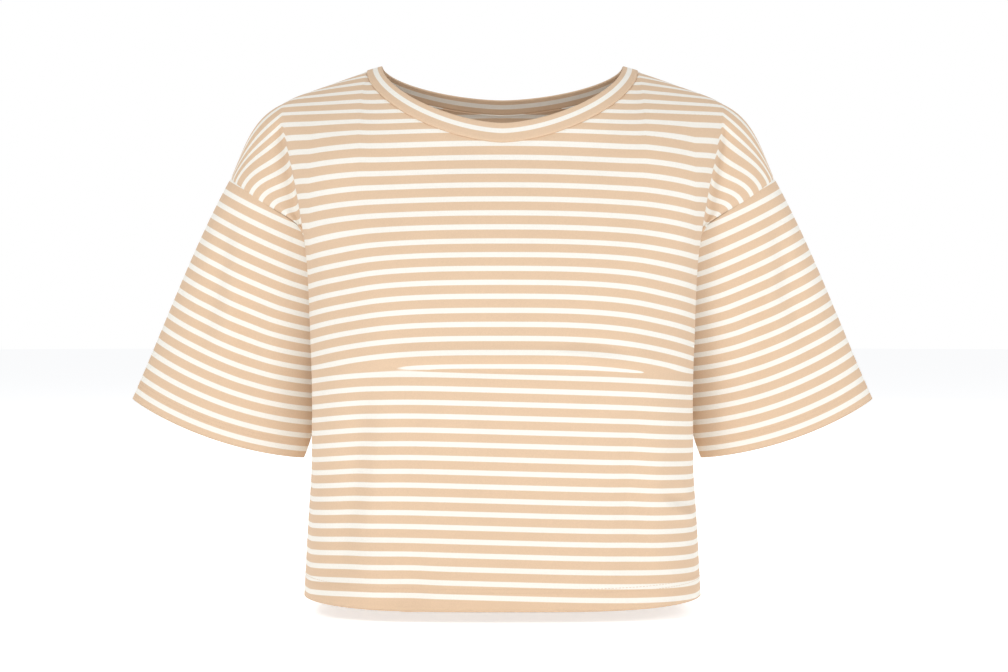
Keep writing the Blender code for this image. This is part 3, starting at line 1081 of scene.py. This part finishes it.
def sleeve_grid():
    """Points of the left sleeve before its creases: rows from its seam to its hem, columns all round."""
    around = np.linspace(0, 1, ARMHOLE_ROWS * FINE + 1)
    front, back = armhole(-1, around), armhole(1, around)
    top = np.vstack([front, back[-2:0:-1]])
    bottom = sleeve_hem(around)
    arm = unit(np.array(SLEEVE_TIP) - front[0])
    even = np.linspace(0, 1, SLEEVE_ROWS * FINE + 1)
    share = np.concatenate([[0.0], SEAM_STEPS, even[1:]])
    grid = np.zeros((len(share), len(top), 3))
    half_way = ARMHOLE_ROWS * FINE
    for place, (start, end) in enumerate(zip(top, bottom)):
        reach = np.linalg.norm(end - start) * SLEEVE_ROUNDNESS
        nearness = 1 - abs(place - half_way) / half_way
        lift = np.clip((nearness - UNDERARM_START) / UNDERARM_BLEND, 0, 1)
        leaving = unit(np.array(SLEEVE_TOP_LEAVES) * (1 - lift) + np.array(UNDERARM_LEAVES) * lift)
        grid[:, place] = bezier(start, start + leaving * reach, end - arm * reach, end, share)
    return grid


def make_sleeve(name, mirror):
    cloth = bpy.context.scene.crop_top_cloth
    grid = sleeve_grid()
    rows, columns = grid.shape[:2]
    down = reach_down(grid)
    up = down[-1] - down
    closed = np.concatenate([grid, grid[:, :1]], axis=1)
    around = reach_across(closed)[:, :-1]
    girth = reach_across(closed)[:, -1:]
    signed = np.where(around > girth / 2, around - girth, around)
    lift = relief(np.stack([signed, up], axis=-1), SLEEVE_CREASES) * cloth.crease_strength
    lift *= smooth_step(down / CREASE_CLEAR_OF_SEAM)
    lift -= SEAM_DIP * np.exp(-((down / SEAM_DIP_WIDTH) ** 2))
    grid = grid + normals_of(grid, False, ring=True) * lift[..., None]
    course = (up - SLEEVE_FIRST_CREAM) / SLEEVE_REPEAT
    course_map = np.stack([signed / SLEEVE_REPEAT, course], axis=-1)
    if mirror:
        grid = grid * np.array([-1.0, 1.0, 1.0])
    mesh = grid_mesh(f"{name}_cloth", grid, mirror, True, (("cloth", course_map),))
    mesh.materials.append(jersey(f"{name} jersey", with_pressed_line=False))
    from_hem = up[:, 0]
    double_from = int(np.searchsorted(-from_hem, -cloth.hem_width))
    piece = thickened(f"{name}_cloth", mesh, cloth.wall, double_from, rows, columns, cloth.hem_wall)
    return ready(piece, name, "sleeve_jersey"), grid


# --- neckband


def band_ring(edge_share):
    """A ring of the neckband between its free edge (0) and the neck seam (1)."""
    halves = []
    for side in (-1, 1):
        seam = top_edge(side)[: NECK_COLUMNS * FINE + 1]
        share = seam[:, 0] / NECK_HALF_WIDTH
        drop = BAND_EDGE_FRONT_DROP if side < 0 else BAND_EDGE_BACK_DROP
        edge_z = BAND_EDGE_Z - neck_drop(np.clip(share, 0, 1), drop)
        edge = np.stack([share * BAND_EDGE_HALF_WIDTH, seam[:, 1] * BAND_LEAN, edge_z], axis=1)
        halves.append(mirrored((edge + (seam - edge) * edge_share)[None])[0])
    front, back = halves
    return np.vstack([front, back[-2:0:-1]])


def band_section():
    """The neckband's closed section: share from free edge to seam, and offset in half thicknesses."""
    face = np.linspace(BAND_FACE_FOOT, BAND_FACE_TOP, BAND_FACE_STEPS)
    outer = [(share, 1.0) for share in face]
    turn = np.linspace(0, np.pi, BAND_EDGE_STEPS + 2)[1:-1]
    fold = [(BAND_FACE_TOP * (1 - math.sin(angle)), math.cos(angle)) for angle in turn]
    inner = [(share, -1.0) for share in face[::-1]]
    return [BAND_SEAM_OUTER] + outer + fold + inner + [BAND_SEAM_INNER]


def make_neckband():
    section = band_section()
    edge, seam = band_ring(0.0), band_ring(1.0)
    around = unit(np.roll(edge, -1, axis=0) - np.roll(edge, 1, axis=0))
    outward = unit(np.cross(seam - edge, around))
    width = np.linalg.norm(seam - edge, axis=1)
    grid = np.stack([
        edge + (seam - edge) * share + outward * offset * BAND_HALF_THICKNESS for share, offset in section
    ])
    grid = np.concatenate([grid, grid[:1]])
    girth = np.concatenate([[0.0], np.cumsum(np.linalg.norm(np.diff(edge, axis=0), axis=1))])
    shares = np.array([share for share, _ in section] + [section[0][0]])
    course = (shares[:, None] - BAND_CREAM_AT) * width[None] / BAND_REPEAT
    course = np.clip(course, -BAND_LAST_COURSE, BAND_LAST_COURSE)
    sideways = np.broadcast_to(girth / BAND_REPEAT, course.shape)
    course_map = np.stack([sideways, course], axis=-1)
    mesh = grid_mesh("neckband_cloth", grid, False, True, (("cloth", course_map),))
    weld_rows(mesh)
    mesh.materials.append(jersey("neckband jersey", with_pressed_line=False))
    piece = bpy.data.objects.new("neckband_cloth", mesh)
    piece_collection().objects.link(piece)
    return ready(piece, "neckband", "neckband_jersey")


def weld_rows(mesh):
    """Joins the first and last row of a closed section."""
    work = bmesh.new()
    work.from_mesh(mesh)
    bmesh.ops.remove_doubles(work, verts=work.verts, dist=0.00001)
    work.to_mesh(mesh)
    work.free()


# --- stitches


def stitch_tree():
    """Geometry nodes that lay short threads along a line, with named sizes."""
    found = bpy.data.node_groups.get("stitch row")
    if found:
        return found
    tree = bpy.data.node_groups.new("stitch row", "GeometryNodeTree")
    tree.interface.new_socket(name="Line", in_out="INPUT", socket_type="NodeSocketGeometry")
    for label in ("Spacing", "Length", "Thickness"):
        socket = tree.interface.new_socket(name=label, in_out="INPUT", socket_type="NodeSocketFloat")
        socket.subtype = "DISTANCE"
    tree.interface.new_socket(name="Thread", in_out="INPUT", socket_type="NodeSocketMaterial")
    tree.interface.new_socket(name="Stitches", in_out="OUTPUT", socket_type="NodeSocketGeometry")
    add, link = tree.nodes.new, tree.links.new
    given, out = add("NodeGroupInput"), add("NodeGroupOutput")
    line = add("GeometryNodeMeshToCurve")
    link(given.outputs["Line"], line.inputs[0])
    points = add("GeometryNodeCurveToPoints")
    points.mode = "LENGTH"
    link(line.outputs[0], points.inputs["Curve"])
    link(given.outputs["Spacing"], points.inputs["Length"])
    turn = add("FunctionNodeAlignRotationToVector")
    turn.axis = "X"
    link(points.outputs["Tangent"], turn.inputs["Vector"])
    bead = add("GeometryNodeMeshUVSphere")
    bead.inputs["Segments"].default_value = 6
    bead.inputs["Rings"].default_value = 5
    bead.inputs["Radius"].default_value = 0.5
    size = add("ShaderNodeCombineXYZ")
    link(given.outputs["Length"], size.inputs["X"])
    link(given.outputs["Thickness"], size.inputs["Y"])
    link(given.outputs["Thickness"], size.inputs["Z"])
    place = add("GeometryNodeInstanceOnPoints")
    link(points.outputs["Points"], place.inputs["Points"])
    link(bead.outputs["Mesh"], place.inputs["Instance"])
    link(turn.outputs[0], place.inputs["Rotation"])
    link(size.outputs[0], place.inputs["Scale"])
    real = add("GeometryNodeRealizeInstances")
    link(place.outputs[0], real.inputs[0])
    look = add("GeometryNodeSetMaterial")
    link(real.outputs[0], look.inputs["Geometry"])
    link(given.outputs["Thread"], look.inputs["Material"])
    link(look.outputs[0], out.inputs["Stitches"])
    return tree


def stitch_rows(name, lines, slot_name):
    """One mesh of stitches along several lines of points."""
    sizes = bpy.context.scene.crop_top_stitches
    points, edges = [], []
    for line, closed in lines:
        first = len(points)
        points.extend(line.tolist())
        edges.extend((first + k, first + k + 1) for k in range(len(line) - 1))
        if closed:
            edges.append((first + len(line) - 1, first))
    mesh = bpy.data.meshes.new(name)
    mesh.from_pydata(points, edges, [])
    piece = bpy.data.objects.new(name, mesh)
    piece_collection().objects.link(piece)
    tree = stitch_tree()
    sewn = piece.modifiers.new("stitches", "NODES")
    sewn.node_group = tree
    ids = {item.name: item.identifier for item in tree.interface.items_tree if item.in_out == "INPUT"}
    sewn[ids["Spacing"]] = sizes.spacing
    sewn[ids["Length"]] = sizes.length
    sewn[ids["Thickness"]] = sizes.thickness
    sewn[ids["Thread"]] = thread_material()
    bpy.context.view_layer.update()
    baked(piece)
    piece.data.shade_smooth()
    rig.ride(piece, "root")
    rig.slot(piece, slot_name)
    return piece


def line_above_hem(grid, distance, lift, outward, ring):
    """Points on the cloth at a distance over its hem, lifted a little off it."""
    down = reach_down(grid)
    up = down[-1] - down
    surface = grid + normals_of(grid, outward, ring) * lift
    columns = range(grid.shape[1])
    found = [[np.interp(-distance, -up[:, c], surface[:, c, k]) for k in range(3)] for c in columns]
    return np.array(found)


def hem_stitches(name, grid, outward, ring, above, slot_name):
    """Two rows of stitches over a hem."""
    sizes = bpy.context.scene.crop_top_stitches
    lift = sizes.thickness * 0.1
    lines = []
    for row in range(2):
        line = line_above_hem(grid, above + row * sizes.row_gap, lift, outward, ring)
        lines.append((line, ring))
    return stitch_rows(name, lines, slot_name)


# --- operators


made = {}


class CROPTOP_OT_panels(bpy.types.Operator):
    """Makes the front and the back"""

    bl_idname = "crop_top.panels"
    bl_label = "Front and back"

    def execute(self, context):
        for name, side in (("front", -1), ("back", 1)):
            piece, grid = make_panel(name, side)
            above = context.scene.crop_top_stitches.above_hem
            sewn = hem_stitches(f"{name}_hem_stitches", grid, side < 0, False, above, "body_jersey")
            made[name] = (piece, sewn)
        return {"FINISHED"}


class CROPTOP_OT_sleeves(bpy.types.Operator):
    """Makes the two sleeves"""

    bl_idname = "crop_top.sleeves"
    bl_label = "Sleeves"

    def execute(self, context):
        for name, mirror in (("sleeve_left", False), ("sleeve_right", True)):
            piece, grid = make_sleeve(name, mirror)
            above = context.scene.crop_top_stitches.above_cuff
            sewn = hem_stitches(f"{name}_hem_stitches", grid, mirror, True, above, "sleeve_jersey")
            made[name] = (piece, sewn)
        return {"FINISHED"}


class CROPTOP_OT_neckband(bpy.types.Operator):
    """Makes the folded neckband"""

    bl_idname = "crop_top.neckband"
    bl_label = "Neckband"

    def execute(self, context):
        made["neckband"] = (make_neckband(), None)
        return {"FINISHED"}


# The cut of each piece laid flat: name, width, length, area.
FLAT_CUTS = (
    ("front", 0.560, 0.520, 0.240),
    ("back", 0.560, 0.540, 0.250),
    ("sleeve_left", 0.400, 0.250, 0.080),
    ("sleeve_right", 0.400, 0.250, 0.080),
    ("neckband", 0.620, 0.018, 0.0111),
)


class CROPTOP_OT_cuts(bpy.types.Operator):
    """States the flat cut of each cloth piece"""

    bl_idname = "crop_top.cuts"
    bl_label = "Flat cuts"

    def execute(self, context):
        for name, width, length, area in FLAT_CUTS:
            piece, sewn = made[name]
            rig.sheet(
                piece, flat=(width, length), held="hung", rests_on=[], area=area,
                with_pieces=[sewn] if sewn else [],
            )
        return {"FINISHED"}


def stage_material():
    """Pale studio paper with a little light from below it."""
    stage = bpy.context.scene.crop_top_stage
    light = stage.floor_colour
    paper, _, shader, _ = speckled("studio paper", light, 0.99, PAPER_SCALE, 0.95)
    shader.inputs["Specular IOR Level"].default_value = 0.0
    shader.inputs["Emission Color"].default_value = (*light, 1.0)
    shader.inputs["Emission Strength"].default_value = stage.floor_glow
    return paper


def make_floor(height):
    """A round flat floor, wide enough to pass under the camera on every side."""
    turn = np.linspace(0, math.tau, FLOOR_SIDES, endpoint=False)
    rim = np.stack([np.cos(turn), np.sin(turn), np.zeros(FLOOR_SIDES)], axis=1) * FLOOR_RADIUS
    rim[:, 2] = height
    mesh = bpy.data.meshes.new("studio_floor")
    mesh.from_pydata(rim.tolist(), [], [list(range(FLOOR_SIDES))])
    mesh.materials.append(stage_material())
    floor = bpy.data.objects.new("studio_floor", mesh)
    bpy.context.scene.collection.objects.link(floor)
    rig.stage(floor)


def aim(item, target):
    """Turns a light's face to a point."""
    direction = mathutils.Vector(target) - item.location
    item.rotation_euler = direction.to_track_quat("-Z", "Y").to_euler()


class CROPTOP_OT_stage(bpy.types.Operator):
    """Makes the floor, the lights and the camera"""

    bl_idname = "crop_top.stage"
    bl_label = "Studio"

    def execute(self, context):
        scene = context.scene
        stage = scene.crop_top_stage
        make_floor(CAD_BOX[0][2] - stage.floor_drop)
        for name, place, target, size, share in SOFT_LIGHTS:
            lamp = bpy.data.lights.new(name, "AREA")
            lamp.shape = "DISK"
            lamp.size = size
            lamp.energy = stage.key_power * share
            light = bpy.data.objects.new(name, lamp)
            light.location = place
            light.visible_camera = False
            aim(light, target)
            scene.collection.objects.link(light)
        world = bpy.data.worlds.new("studio air")
        world.use_nodes = True
        air = world.node_tree.nodes["Background"]
        air.inputs["Color"].default_value = (1.0, 1.0, 1.0, 1.0)
        seen = world.node_tree.nodes.new("ShaderNodeLightPath")
        strength = mix_node(world.node_tree, "FLOAT", seen.outputs["Is Camera Ray"], stage.surround, 1.0)
        world.node_tree.links.new(strength, air.inputs["Strength"])
        scene.world = world
        scene.view_settings.view_transform = "Standard"
        lens = bpy.data.cameras.new("camera")
        lens.sensor_width = SENSOR_WIDTH
        lens.lens = CAMERA_LENS
        camera = bpy.data.objects.new("camera", lens)
        camera.location = CAMERA_PLACE
        camera.rotation_euler = (math.radians(90.0 - CAMERA_PITCH_DOWN), 0.0, 0.0)
        scene.collection.objects.link(camera)
        scene.camera = camera
        return {"FINISHED"}


class CROPTOP_PT_panel(bpy.types.Panel):
    """Lists the crop top's settings and its steps"""

    bl_idname = "CROPTOP_PT_panel"
    bl_label = "Crop top"
    bl_space_type = "VIEW_3D"
    bl_region_type = "UI"
    bl_category = "Crop top"

    def draw(self, context):
        for settings in ("crop_top_cloth", "crop_top_stitches", "crop_top_stage"):
            group = getattr(context.scene, settings)
            box = self.layout.box()
            for name in group.__annotations__:
                box.prop(group, name)
        for operator in OPERATORS:
            self.layout.operator(operator.bl_idname)


OPERATORS = (
    CROPTOP_OT_panels,
    CROPTOP_OT_sleeves,
    CROPTOP_OT_neckband,
    CROPTOP_OT_cuts,
    CROPTOP_OT_stage,
)
SETTINGS = (
    ("crop_top_cloth", CropTopCloth),
    ("crop_top_stitches", CropTopStitches),
    ("crop_top_stage", CropTopStage),
)


def register():
    for name, group in SETTINGS:
        bpy.utils.register_class(group)
        setattr(bpy.types.Scene, name, bpy.props.PointerProperty(type=group))
    for item in (*OPERATORS, CROPTOP_PT_panel):
        bpy.utils.register_class(item)


def unregister():
    for item in (CROPTOP_PT_panel, *reversed(OPERATORS)):
        bpy.utils.unregister_class(item)
    for name, group in reversed(SETTINGS):
        delattr(bpy.types.Scene, name)
        bpy.utils.unregister_class(group)


def main():
    register()
    bpy.ops.crop_top.panels()
    bpy.ops.crop_top.sleeves()
    bpy.ops.crop_top.neckband()
    bpy.ops.crop_top.cuts()
    bpy.ops.crop_top.stage()
    with open("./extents.json", "w") as file:
        json.dump({"cad": CAD_BOX, "visual": [list(corner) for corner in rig.bounds()]}, file)


if __name__ == "__main__":
    main()
